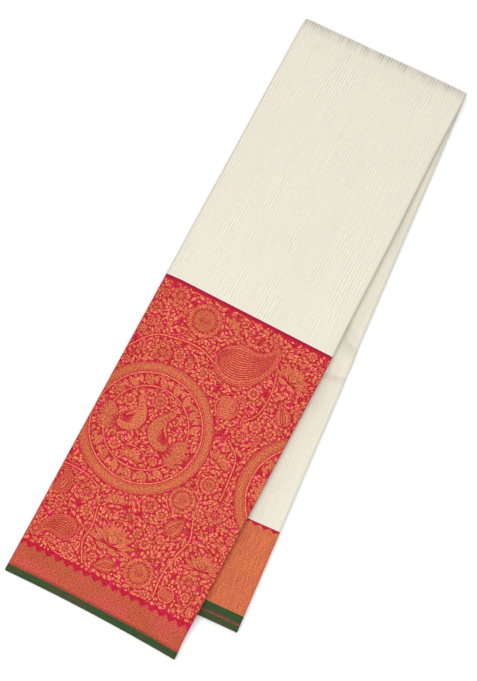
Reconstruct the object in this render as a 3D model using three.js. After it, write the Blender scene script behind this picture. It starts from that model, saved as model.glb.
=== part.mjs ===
// A silk sari folded for storage, lying flat. One length of cloth is pleated lengthwise into
// flat plies, and the long packet is then folded once across, so that the big border ends the
// upper (front) leaf and the small border ends the lower (back) leaf.
// Millimetres, +Z up. The front leaf runs along Y with its free end towards -Y.
import * as THREE from 'three';

const DEGREE = Math.PI / 180;

// ---- Driving sizes -------------------------------------------------------------------------
const PLY_WIDTH = 180;        // width of a ply, fold to fold
const PACKET = 10;            // thickness of one leaf, 34 plies pressed flat
const LEAF_GAP = 0.6;         // air between the leaves
const CLOTH = 1.2;            // wall of an outer ply
const LAYER_GAP = 0.3;        // between plies that lie on each other
const SEAM = 0.3;             // between the pieces of one ply
const CREASE_TILT = 2.05 * DEGREE; // the cross fold's turn away from square

// Places along the unfolded packet. Zero is where the front leaf meets the cross fold.
const FRONT_END = -620.5;        // at its corners
const FRONT_SELVEDGE = -614.2;   // band to green edge, at the sides
const FRONT_TEETH = -590.2;      // middle of the temple teeth
const BROCADE_JOINT = -294.9;
const BACK_JOINT = 492.2;
const BACK_SELVEDGE = 578;       // band to green edge, on the ply that shows
const BACK_PLY_END = 586.3;      // where that ply ends
const SECOND_PLY_START = 556;
const BACK_END = 594;

const FRONT_TOOTH = { count: 18, height: 5 };
const END_BOW = 2;            // the front end's middle stands back from its corners

// Where the front leaf reaches past the back leaf it sinks to the floor over this distance.
const DROOP_REACH = 44;

// The hidden plies show as folds down both sides and as edges at both ends.
const HIDDEN_FOLDS = 13;
const FOLD_DEPTH = 0.7;       // from a fold's crest to the groove beside it
const FOLD_STAGGER = 0.9;     // how far folds and edges fall short of the outer plies

// ---- Worked out from them ------------------------------------------------------------------
const HALF = PLY_WIDTH / 2;
const RADIUS = (PACKET + LEAF_GAP) / 2;   // of the packet's middle surface round the fold
const FOLD_ARC = Math.PI * RADIUS;
const LIFT = RADIUS + PACKET / 2;         // puts the underside at z = 0
const OUTER = PACKET / 2;                 // offset of the outer face from the middle surface
const UNDER_OUTER = OUTER - CLOTH;
const HIDDEN_TOP = UNDER_OUTER - LAYER_GAP;
const SECOND_TOP = -HIDDEN_TOP;           // facing inwards, offsets are negative
const SECOND_BOTTOM = SECOND_TOP + CLOTH;
const ALONG = new THREE.Vector2(Math.cos(CREASE_TILT), Math.sin(CREASE_TILT));

// How a row of points lies across the packet, from square (0) to along the crease (1).
const ROW_SLANT = [
  { t: FRONT_END, slant: 0 },
  { t: BROCADE_JOINT, slant: 0.12 },
  { t: 0, slant: 1 },
  { t: FOLD_ARC, slant: 1 },
  { t: BACK_JOINT, slant: 0 },
  { t: BACK_SELVEDGE, slant: 0.5 },
  { t: BACK_END, slant: 0.5 },
];

// Small wanders of the two sides, outwards positive.
const SIDE_WANDER = [
  { t: FRONT_END, left: 0, right: 1.2 },
  { t: -600, left: 0, right: 0.2 },
  { t: -570, left: 0, right: 0.8 },
  { t: -430, left: 0, right: 0.9 },
  { t: -300, left: -0.2, right: 1.8 },
  { t: -262, left: -0.2, right: 0.9 },
  { t: -180, left: -0.4, right: 0.5 },
  { t: -60, left: -0.4, right: -1.2 },
  { t: 0, left: -0.3, right: -0.8 },
  { t: 200, left: 0, right: -0.8 },
  { t: 280, left: 0, right: -0.6 },
  { t: 320, left: 0, right: 0.4 },
  { t: 420, left: 0, right: 0.1 },
  { t: BACK_END, left: 0, right: 0 },
];
const WANDER_WIDTH = 40;      // how far in from a side its wander is felt

// ---- Shape of the packet -------------------------------------------------------------------
const smooth = (x) => {
  const u = THREE.MathUtils.clamp(x, 0, 1);
  return u * u * (3 - 2 * u);
};

// Reads a named column of a table whose rows are sorted by t.
function read(table, column, t, ease = (x) => x) {
  if (t <= table[0].t) return table[0][column];
  for (let i = 1; i < table.length; i += 1) {
    const from = table[i - 1];
    const to = table[i];
    if (t <= to.t) {
      return THREE.MathUtils.lerp(from[column], to[column], ease((t - from.t) / (to.t - from.t)));
    }
  }
  return table[table.length - 1][column];
}

function wander(s, t) {
  const column = s > 0 ? 'right' : 'left';
  const weight = smooth((Math.abs(s) - HALF + WANDER_WIDTH) / WANDER_WIDTH);
  return s + Math.sign(s) * weight * read(SIDE_WANDER, column, t, smooth);
}

// How far a place on the floor lies past the back leaf's left side and end.
function overhang(x, y) {
  const along = x * ALONG.x + y * ALONG.y;
  const across = FOLD_ARC - (y * ALONG.x - x * ALONG.y);
  const s = along * ALONG.x - across * ALONG.y;
  const t = along * ALONG.y + across * ALONG.x;
  return Math.hypot(Math.max(-HALF - s, 0), Math.max(t - BACK_END, 0));
}

// s runs across the packet, t along it, and offset is measured from its middle surface
// towards the outer face.
function bend(s, t, offset) {
  const side = wander(s, t);
  const along = side * ALONG.x + t * ALONG.y;
  const across = t * ALONG.x - side * ALONG.y;
  const reach = RADIUS + offset;
  let plan = across;
  let z = reach;
  if (across > FOLD_ARC) {
    plan = FOLD_ARC - across;
    z = -reach;
  } else if (across > 0) {
    plan = reach * Math.sin(across / RADIUS);
    z = reach * Math.cos(across / RADIUS);
  }
  const x = along * ALONG.x - plan * ALONG.y;
  const y = along * ALONG.y + plan * ALONG.x;
  const sink = across < 0 ? 2 * RADIUS * smooth(overhang(x, y) / DROOP_REACH) : 0;
  return new THREE.Vector3(x, y, z + LIFT - sink);
}

// ---- Rows and columns ----------------------------------------------------------------------
const spread = (from, to, steps) =>
  Array.from({ length: steps + 1 }, (_, i) => THREE.MathUtils.lerp(from, to, i / steps));

// The left side, which droops, takes closer columns than the rest.
const COLUMNS = [...spread(-HALF, -HALF + 50, 10), ...spread(-HALF + 50, HALF, 4).slice(1)];
const toothColumns = (tooth) => spread(-HALF, HALF, tooth.count * 2);

// Rows are close where the front end droops, round the fold and where a side wanders.
const FRONT_ROWS = [
  ...spread(FRONT_SELVEDGE, FRONT_TEETH, 3),
  ...spread(FRONT_TEETH, -567, 3).slice(1),
  -535, -490, -430, -365, -300, -262, -180, -120, -60, -8,
];
const FOLD_ROWS = spread(0, FOLD_ARC, 8);
const BACK_ROWS = [60, 200, 280, 320, 420];

const row = (t, tooth = null) => ({ t, tooth });

// t of a row at column s: slanted, hollow near the front end, and zigzag where teeth are cut.
function rowT({ t, tooth }, s) {
  const slanted = t + read(ROW_SLANT, 'slant', t) * s * Math.tan(CREASE_TILT);
  const bow = END_BOW * (1 - (s / HALF) ** 2) * smooth((FRONT_SELVEDGE + 30 - t) / 30);
  if (!tooth) return slanted + bow;
  const phase = ((s + HALF) / PLY_WIDTH) * tooth.count;
  const zigzag = 0.5 - Math.abs((phase % 1) - 0.5) * 2;
  return slanted + bow + tooth.height * zigzag;
}

const rowsBetween = (from, to) =>
  [...FRONT_ROWS, ...FOLD_ROWS, ...BACK_ROWS].filter((t) => t > from + 1 && t < to - 1);

// ---- Closed bodies -------------------------------------------------------------------------
class Body {
  constructor() {
    this.points = [];
    this.faces = [];
  }

  add(point) {
    this.points.push(point.x, point.y, point.z);
    return this.points.length / 3 - 1;
  }

  quad(a, b, c, d) {
    this.faces.push(a, b, c, a, c, d);
  }

  geometry() {
    const geometry = new THREE.BufferGeometry();
    geometry.setAttribute('position', new THREE.Float32BufferAttribute(this.points, 3));
    geometry.setIndex(this.faces);
    geometry.computeVertexNormals();
    return geometry;
  }
}

// A wall of cloth between two offsets, from its first row to its last, with rounded sides.
function clothWall(rows, low, high, columns) {
  const body = new Body();
  const nose = (high - low) / 2;
  const inset = (s) => (Math.abs(s) === HALF ? s - Math.sign(s) * nose : s);
  const middle = (low + high) / 2;
  const section = [
    ...columns.map((s) => ({ s: inset(s), offset: high })),
    { s: HALF, offset: middle },
    ...columns.toReversed().map((s) => ({ s: inset(s), offset: low })),
    { s: -HALF, offset: middle },
  ];
  const rings = rows.map((each) =>
    section.map(({ s, offset }) => body.add(bend(s, rowT(each, s), offset))));
  const size = section.length;
  for (let j = 1; j < rings.length; j += 1) {
    for (let i = 0; i < size; i += 1) {
      const next = (i + 1) % size;
      body.quad(rings[j - 1][i], rings[j - 1][next], rings[j][next], rings[j][i]);
    }
  }
  const last = columns.length - 1;
  const under = (i) => 2 * last + 2 - i;
  const cap = (ring, flip) => {
    const triangle = (a, b, c) =>
      (flip ? body.faces.push(ring[a], ring[c], ring[b]) : body.faces.push(ring[a], ring[b], ring[c]));
    for (let i = 0; i < last; i += 1) {
      triangle(i, i + 1, under(i));
      triangle(i + 1, under(i + 1), under(i));
    }
    triangle(last, last + 1, under(last));
    triangle(0, under(0), size - 1);
  };
  cap(rings[rings.length - 1], false);
  cap(rings[0], true);
  return body.geometry();
}

// A repeatable scatter between 0 and 1 for layer number and side.
const scatter = (layer, side) => {
  const wave = Math.sin(layer * 12.9898 + side * 78.233) * 43758.5453;
  return wave - Math.floor(wave);
};

// Profile of the layered rim: a groove and a crest for every fold. For each side of the
// packet it tells how far the point lies outside the rim's base line.
function rimProfile() {
  const points = [];
  for (let layer = 0; layer < HIDDEN_FOLDS; layer += 1) {
    const base = layer / HIDDEN_FOLDS;
    const crest = [0, 1, 2, 3].map((side) => FOLD_DEPTH + FOLD_STAGGER * scatter(layer, side));
    points.push({ share: base, out: [0, 0, 0, 0] });
    points.push({ share: base + 0.5 / HIDDEN_FOLDS, out: crest });
  }
  points.push({ share: 1, out: [0, 0, 0, 0] });
  return points;
}

// All the hidden plies as one solid: flat above and below, layered all round.
function layeredPacket(low, high, rows, columns) {
  const body = new Body();
  const profile = rimProfile();
  const rim = FOLD_DEPTH + FOLD_STAGGER;
  const inner = HALF - rim;
  const across = columns.map((s) => (s / HALF) * inner);
  const lastRow = rows.length - 1;
  const lastColumn = across.length - 1;
  const place = (i, j, { share, out }) => {
    const left = i === 0 ? -out[0] : 0;
    const right = i === lastColumn ? out[1] : 0;
    const front = j === 0 ? -out[2] : 0;
    const back = j === lastRow ? out[3] : 0;
    const s = across[i];
    const t = rowT(rows[j], s) + (j === 0 ? rim : 0) - (j === lastRow ? rim : 0);
    const bottom = low(rows[j].t);
    const top = high(rows[j].t);
    const offset = THREE.MathUtils.lerp(bottom, top, share);
    return body.add(bend(s + left + right, t + front + back, offset));
  };

  // Stations of the rim, anticlockwise seen from the outer face.
  const stations = [];
  for (let i = 0; i <= lastColumn; i += 1) stations.push([i, 0]);
  for (let j = 1; j <= lastRow; j += 1) stations.push([lastColumn, j]);
  for (let i = lastColumn - 1; i >= 0; i -= 1) stations.push([i, lastRow]);
  for (let j = lastRow - 1; j >= 1; j -= 1) stations.push([0, j]);
  const ribs = stations.map(([i, j]) => profile.map((each) => place(i, j, each)));
  ribs.forEach((rib, k) => {
    const next = ribs[(k + 1) % ribs.length];
    for (let n = 1; n < profile.length; n += 1) body.quad(rib[n - 1], next[n - 1], next[n], rib[n]);
  });

  // The two flat faces share the rim's first and last points.
  const edgeOf = new Map(stations.map(([i, j], k) => [`${i},${j}`, ribs[k]]));
  const face = (end) => {
    const grid = rows.map((_, j) => across.map((__, i) => {
      const rib = edgeOf.get(`${i},${j}`);
      if (rib) return end === 1 ? rib[rib.length - 1] : rib[0];
      return place(i, j, { share: end, out: [0, 0, 0, 0] });
    }));
    for (let j = 1; j < grid.length; j += 1) {
      for (let i = 1; i < across.length; i += 1) {
        const [a, b, c, d] = [grid[j - 1][i - 1], grid[j - 1][i], grid[j][i], grid[j][i - 1]];
        if (end === 1) body.quad(a, b, c, d);
        else body.quad(a, d, c, b);
      }
    }
  };
  face(1);
  face(0);
  return body.geometry();
}

// ---- Materials -----------------------------------------------------------------------------
const cloth = (color, roughness, metalness) =>
  new THREE.MeshStandardMaterial({ color, roughness, metalness });
const CREAM = cloth(0xece5d5, 0.55, 0);
const BROCADE = cloth(0xd6604d, 0.5, 0.15);
const ZARI = cloth(0xd27050, 0.42, 0.3);
const GREEN = cloth(0x3c5532, 0.6, 0);

// ---- The pieces ----------------------------------------------------------------------------
const sari = new THREE.Group();

function piece(name, geometry, material) {
  const mesh = new THREE.Mesh(geometry, material);
  mesh.name = name;
  sari.add(mesh);
}

const outerFace = [UNDER_OUTER, OUTER];
const innerFace = [-OUTER, -UNDER_OUTER];

// A stretch of one ply between two places. An end that meets another piece stands back by
// half a seam. teethAtStart and teethAtEnd cut that end in temple teeth.
function stretch(from, to, [low, high], { teethAtStart = null, teethAtEnd = null } = {}) {
  const start = from === FRONT_END ? from : from + SEAM / 2;
  const end = to === BACK_END || to === BACK_PLY_END ? to : to - SEAM / 2;
  const tooth = teethAtStart || teethAtEnd;
  const rows = [
    row(start, teethAtStart),
    ...rowsBetween(from + (teethAtStart ? 3 : 0), to - (teethAtEnd ? 3 : 0)).map((t) => row(t)),
    row(end, teethAtEnd),
  ];
  return clothWall(rows, low, high, tooth ? toothColumns(tooth) : COLUMNS);
}

piece('field_outer', stretch(BROCADE_JOINT, BACK_JOINT, outerFace), CREAM);
piece('brocade_front',
  stretch(FRONT_TEETH, BROCADE_JOINT, outerFace, { teethAtStart: FRONT_TOOTH }), BROCADE);
piece('zari_band_front',
  stretch(FRONT_SELVEDGE, FRONT_TEETH, outerFace, { teethAtEnd: FRONT_TOOTH }), ZARI);
piece('selvedge_front', stretch(FRONT_END, FRONT_SELVEDGE, outerFace), GREEN);
piece('zari_band_under', stretch(BACK_JOINT, BACK_SELVEDGE, outerFace), ZARI);
piece('selvedge_under', stretch(BACK_SELVEDGE, BACK_PLY_END, outerFace), GREEN);

piece('field_inner', stretch(BROCADE_JOINT, BACK_JOINT, innerFace), CREAM);
piece('brocade_lower', stretch(FRONT_TEETH, BROCADE_JOINT, innerFace), BROCADE);
piece('zari_band_lower', stretch(FRONT_SELVEDGE, FRONT_TEETH, innerFace), ZARI);
piece('selvedge_lower', stretch(FRONT_END, FRONT_SELVEDGE, innerFace), GREEN);
piece('zari_band_back', stretch(BACK_JOINT, BACK_SELVEDGE, innerFace), ZARI);
piece('selvedge_back', stretch(BACK_SELVEDGE, BACK_PLY_END, innerFace), GREEN);
piece('selvedge_second',
  stretch(SECOND_PLY_START, BACK_END, [SECOND_TOP, SECOND_BOTTOM]), GREEN);

// The hidden plies make room for the second ply's edge.
const hiddenLow = (t) => (t < SECOND_PLY_START - SEAM ? SECOND_TOP : SECOND_BOTTOM + LAYER_GAP);
const packetRows = [
  FRONT_END, ...rowsBetween(FRONT_END, SECOND_PLY_START - 2),
  SECOND_PLY_START - 2 * SEAM, SECOND_PLY_START - SEAM, BACK_SELVEDGE, BACK_END,
].map((t) => row(t));
piece('inner_plies', layeredPacket(hiddenLow, () => HIDDEN_TOP, packetRows, COLUMNS), CREAM);

// The origin lies on the floor, under the middle of the folded sari.
const box = new THREE.Box3().setFromObject(sari);
const middle = box.getCenter(new THREE.Vector3());
sari.children.forEach((mesh) => mesh.geometry.translate(-middle.x, -middle.y, -box.min.z));

export default sari;
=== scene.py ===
from collections import namedtuple
from math import atan2, ceil, copysign, cos, degrees, log, pi, radians, sin, tan
import bpy
import numpy as np
from mathutils import Matrix, Vector


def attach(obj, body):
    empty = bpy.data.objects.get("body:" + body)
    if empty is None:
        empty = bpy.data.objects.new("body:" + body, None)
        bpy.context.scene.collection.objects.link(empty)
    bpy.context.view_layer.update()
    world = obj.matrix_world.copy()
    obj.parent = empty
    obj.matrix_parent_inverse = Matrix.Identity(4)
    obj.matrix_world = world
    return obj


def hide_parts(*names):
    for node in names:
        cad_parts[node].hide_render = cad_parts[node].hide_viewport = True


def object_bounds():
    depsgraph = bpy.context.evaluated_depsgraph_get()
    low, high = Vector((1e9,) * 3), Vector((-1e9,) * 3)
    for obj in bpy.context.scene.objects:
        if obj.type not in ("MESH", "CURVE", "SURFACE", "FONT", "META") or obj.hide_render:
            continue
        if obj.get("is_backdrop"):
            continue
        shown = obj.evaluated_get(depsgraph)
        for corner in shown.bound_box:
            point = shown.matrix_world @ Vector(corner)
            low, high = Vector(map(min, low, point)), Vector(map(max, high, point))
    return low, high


# A folded silk sari. Sizes are in millimetres and angles in degrees, unless a name says otherwise.
# s runs across the packet and r along the unfolded packet, from 0 where the front leaf meets
# the cross fold; offset is measured from the packet's middle surface towards its outer face.

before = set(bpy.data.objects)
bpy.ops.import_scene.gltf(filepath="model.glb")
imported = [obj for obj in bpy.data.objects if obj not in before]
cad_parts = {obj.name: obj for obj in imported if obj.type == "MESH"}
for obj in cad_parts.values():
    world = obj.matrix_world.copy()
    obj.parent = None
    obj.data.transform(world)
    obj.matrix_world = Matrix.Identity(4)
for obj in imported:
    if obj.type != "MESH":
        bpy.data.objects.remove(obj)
CAD_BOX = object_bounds()

MM = 0.001

# ---- Driving sizes, as in the model ----
PLY_WIDTH = 180.0
PACKET = 10.0
LEAF_GAP = 0.6
CREASE_TILT = radians(2.05)
FRONT_END = -620.5
FRONT_SELVEDGE = -614.2
FRONT_TEETH = -590.2
BROCADE_JOINT = -294.9
BACK_JOINT = 492.2
BACK_SELVEDGE = 578.0
BACK_PLY_END = 586.3
SECOND_PLY_START = 556.0
BACK_END = 594.0
TOOTH_COUNT = 18
FRONT_TOOTH_HEIGHT = 5.0
BACK_TOOTH_HEIGHT = 3.4
END_BOW = 2.0  # how far the middle of the front end stands in
BOW_REACH = 30.0
DROOP_REACH = 44.0
PLY = 0.29  # one ply of silk, pressed flat

HALF = PLY_WIDTH / 2
RADIUS = (PACKET + LEAF_GAP) / 2
FOLD_ARC = pi * RADIUS
LIFT = RADIUS + PACKET / 2
OUTER = PACKET / 2
TILT_COS, TILT_SIN, TILT_TAN = cos(CREASE_TILT), sin(CREASE_TILT), tan(CREASE_TILT)

# How rows lie across the packet, from square (0) to along the crease (1).
ROW_SLANT = [(FRONT_END, 0), (BROCADE_JOINT, 0.12), (0, 1), (FOLD_ARC, 1), (BACK_JOINT, 0),
             (BACK_SELVEDGE, 0.5), (BACK_END, 0.5)]
# Small wanders of the two sides: place along the packet, and how far outwards.
LEFT_WANDER = [(FRONT_END, 0), (-430, 0), (-300, -0.2), (-262, -0.2), (-180, -0.4), (-60, -0.4),
               (0, -0.3), (200, 0), (BACK_END, 0)]
RIGHT_WANDER = [(FRONT_END, 1.2), (-600, 0.2), (-570, 0.8), (-430, 0.9), (-300, 1.8), (-262, 0.9),
                (-180, 0.5), (-60, -1.2), (0, -0.8), (200, -0.8), (280, -0.6), (320, 0.4),
                (420, 0.1), (BACK_END, 0)]
WANDER_WIDTH = 40.0

# ---- Creases and soft waves of the cloth ----
# A crease is a soft trough, or with a negative depth a ridge: its face (outer 1 or inner -1),
# s, r, turn from the direction of s, length, width and depth.
CREASES = [
    # where something was pressed across the back leaf's strip
    (-1, 76, 287, 32, 21, 7, 4.4),
    (-1, 78, 308, 8, 16, 7.5, -0.9),
    (-1, 80, 327, -12, 19, 6.5, 3.7),
    (-1, 70, 352, 82, 14, 6, 1.4),
    # handling of the front leaf
    (1, -30, -60, 82, 90, 9, 0.22),
    (1, 34, -130, 96, 120, 11, 0.2),
    (1, -58, -210, 88, 70, 8, 0.18),
    (1, 62, -38, 64, 40, 10, 0.25),
    (1, -12, -300, 4, 60, 7, 0.12),
    (1, 50, -470, 80, 60, 10, 0.16),
    (1, -64, -560, 70, 34, 9, 0.25),
    # the underside, which was pressed by the shelf
    (1, -40, 140, 84, 90, 9, 0.35),
    (1, 22, 260, 97, 120, 10, 0.3),
    (1, 60, 380, 78, 60, 8, 0.4),
    (1, -66, 430, 20, 30, 7, 0.5),
    # the inner faces
    (-1, -36, 200, 92, 100, 10, 0.3),
    (-1, 20, 420, 86, 70, 9, 0.25),
    (-1, 30, -180, 95, 90, 10, 0.3),
]
# Long low waves: length of a wave across and along, where it starts, and its height.
WAVES = [(71, 410, 0.4, 0.09), (-113, 260, 1.9, 0.08), (47, -690, 3.1, 0.05),
         (190, 150, 5.2, 0.07)]
EDGE_DROP = 0.55  # how much thinner the packet is at its sides
EDGE_REACH = 7.0
FOLD_DROP = 1.0  # and where the front leaf meets the cross fold
FOLD_REACH = 22.0


# ---- Shape of the packet ----
def smooth(x):
    u = np.clip(x, 0, 1)
    return u * u * (3 - 2 * u)


def read_smooth(table, t):
    places, values = (np.array(each, float) for each in zip(*table))
    i = np.clip(np.searchsorted(places, t) - 1, 0, len(places) - 2)
    share = smooth((t - places[i]) / (places[i + 1] - places[i]))
    return values[i] + (values[i + 1] - values[i]) * share


def wander(s, t):
    weight = smooth((np.abs(s) - HALF + WANDER_WIDTH) / WANDER_WIDTH)
    sideways = np.where(s > 0, read_smooth(RIGHT_WANDER, t), read_smooth(LEFT_WANDER, t))
    return s + np.sign(s) * weight * sideways


def overhang(x, y):
    """How far a place on the floor lies past the back leaf's left side and end."""
    along = x * TILT_COS + y * TILT_SIN
    across = FOLD_ARC - (y * TILT_COS - x * TILT_SIN)
    s = along * TILT_COS - across * TILT_SIN
    t = along * TILT_SIN + across * TILT_COS
    return np.hypot(np.maximum(-HALF - s, 0), np.maximum(t - BACK_END, 0))


def bend(s, t, offset):
    """Places of the folded packet, before its origin is moved."""
    side = wander(s, t)
    along = side * TILT_COS + t * TILT_SIN
    across = t * TILT_COS - side * TILT_SIN
    reach = RADIUS + offset
    turn = np.clip(across, 0, FOLD_ARC) / RADIUS
    plan = reach * np.sin(turn) + np.minimum(across, 0) - np.maximum(across - FOLD_ARC, 0)
    x = along * TILT_COS - plan * TILT_SIN
    y = along * TILT_SIN + plan * TILT_COS
    sink = np.where(across < 0, 2 * RADIUS * smooth(overhang(x, y) / DROOP_REACH), 0)
    return np.stack([x, y, reach * np.cos(turn) + LIFT - sink], -1)


def row_t(r, s):
    """Where row r crosses column s: slanted with the crease, and hollow at the front end."""
    bow = END_BOW * (1 - (s / HALF) ** 2) * smooth((FRONT_SELVEDGE + BOW_REACH - r) / BOW_REACH)
    return r + np.interp(r, *zip(*ROW_SLANT)) * s * TILT_TAN + bow


def relief(face, s, r):
    """How far a face of the packet stands in from its plain shape."""
    depth = EDGE_DROP * smooth((np.abs(s) - HALF + EDGE_REACH) / EDGE_REACH) ** 2
    if face > 0:
        crest = FOLD_ARC / 2
        depth = depth + FOLD_DROP * smooth(1 + r / FOLD_REACH) * (1 - smooth(r / crest))
    for across, along, start, height in WAVES:
        turn = 2 * pi * (s / across + r / along) + start * (2 + face)
        depth = depth + height * (1 + np.sin(turn))
    for where, at_s, at_r, turn, length, width, deep in CREASES:
        if where != face:
            continue
        c, n = cos(radians(turn)), sin(radians(turn))
        along = (s - at_s) * c + (r - at_r) * n
        across = (r - at_r) * c - (s - at_s) * n
        depth = depth + deep * np.exp(-((across / width) ** 2) - (along / length) ** 4)
    return depth


def surface(s, r, offset):
    """Places in the row frame, in millimetres."""
    face_share = np.abs(offset) / OUTER
    depth = np.where(offset > 0, relief(1, s, r), relief(-1, s, r))
    return bend(s, row_t(r, s), offset - np.sign(offset) * depth * face_share) + SHIFT


# The model's own origin lies under the middle of its box.
LAST_COLUMN = HALF - 0.6
FOLD_MIDDLE = FOLD_ARC / 2 + LAST_COLUMN * TILT_TAN
SHIFT = np.array([
    CAD_BOX[0].x / MM + HALF,
    CAD_BOX[1].y / MM - bend(np.array(LAST_COLUMN), np.array(FOLD_MIDDLE), OUTER)[1],
    0,
])


# ---- Meshes ----
def add_object(name, data):
    made = bpy.data.objects.new(name, data)
    bpy.context.collection.objects.link(made)
    return made


def new_piece(name, points, faces, cloth, silk, replaces=()):
    """A piece of the sari. Its points are in millimetres, and so are the first two numbers of
    cloth, its place on the cloth. The third is a tint from 0 to 1."""
    mesh = bpy.data.meshes.new(name)
    mesh.from_pydata((points.reshape(-1, 3) * MM).tolist(), [], faces.tolist())
    cloth = np.ascontiguousarray(cloth.reshape(-1, 3), np.float32)
    mesh.attributes.new("cloth", "FLOAT_VECTOR", "POINT").data.foreach_set("vector", cloth.ravel())
    mesh.polygons.foreach_set("use_smooth", np.ones(len(mesh.polygons), bool))
    mesh.materials.append(silk.material)
    mesh.validate()
    piece = add_object(name, mesh)
    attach(piece, "root")
    if replaces:
        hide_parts(*replaces)
    return piece


def grid_faces(rows, columns, flip=False):
    """Quads of a grid of points, anticlockwise with rows going up and columns to the right."""
    index = np.arange(rows * columns).reshape(rows, columns)
    corners = [index[:-1, :-1], index[:-1, 1:], index[1:, 1:], index[1:, :-1]]
    if flip:
        corners.reverse()
    return np.stack(corners, -1).reshape(-1, 4)


# ---- Stretches of an outer ply ----
COLUMN_STEP = 5.0 / 3  # three columns to half a front tooth
SIDE_TAIL = 3.0  # how far a ply runs on under itself at a side fold
NOSE_TURNS = np.radians([30, 60, 90, 120, 150, 180])  # steps round a side fold
TOOTH_FADE = 10.0  # how far from the teeth's line rows follow them
ROW_STEP = 2.6
CLOSER_ROWS = {(0.0, FOLD_ARC): 0.7, (280.0, 370.0): 1.3}  # at the cross fold and the dent


def ply_section(top):
    """s and offset across an outer ply: its face, and the folds at its two sides."""
    inward = -copysign(PLY, top)
    flat = np.arange(-HALF + COLUMN_STEP, HALF - 0.1, COLUMN_STEP)
    side = [(HALF - PLY, top)]
    side += [(HALF - PLY + PLY * sin(a), top + inward * (1 - cos(a))) for a in NOSE_TURNS]
    side.append((HALF - SIDE_TAIL, top + 2 * inward))
    right = np.array(side)
    left = right[::-1] * (-1, 1)
    return np.vstack([left, np.column_stack([flat, np.full(len(flat), top)]), right])


def spread(first, last, step):
    return np.linspace(first, last, max(2, round((last - first) / step) + 1))


def rows_between(first, last, step=ROW_STEP):
    bounds = {x for each in CLOSER_ROWS for x in each if first < x < last}
    stops = sorted({first, last} | bounds)
    rows = [first]
    for low, high in zip(stops, stops[1:]):
        rows.extend(spread(low, high, CLOSER_ROWS.get((low, high), step))[1:])
    return np.array(rows)


def zigzag(s, r):
    """How far the front temple teeth move a place near them along the packet."""
    phase = (s + HALF) / PLY_WIDTH * TOOTH_COUNT
    tooth = 0.5 - np.abs(phase % 1 - 0.5) * 2
    return FRONT_TOOTH_HEIGHT * tooth * np.clip(1 - np.abs(r - FRONT_TEETH) / TOOTH_FADE, 0, 1)


def stretch(node, first, last, top, silk, step=ROW_STEP):
    """A shell from row first to row last, at offset top, in place of a node of the model."""
    section = ply_section(top)
    rows = rows_between(first, last, step)
    s, r = np.meshgrid(section[:, 0], rows)
    offset = np.broadcast_to(section[:, 1], s.shape)
    r = r + zigzag(s, r)
    cloth = np.stack([s, r, np.zeros(s.shape)], -1)
    piece = new_piece("cloth_" + node.removeprefix("zari_"), surface(s, r, offset),
                      grid_faces(*s.shape, flip=top < 0), cloth, silk, [node])


# ---- Materials ----
def colour(red, green, blue):
    """Linear colour of a screen colour whose parts are from 11 to 255."""
    return (*(((x / 255 + 0.055) / 1.055) ** 2.4 for x in (red, green, blue)), 1)


# Painted shade: the colour is darkened along the two long folds, where their rounded edges turn
# from the light.
FOLD_SHADE = 0.8  # brightness along the long folds
Silk = namedtuple("Silk", "material slot")


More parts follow.
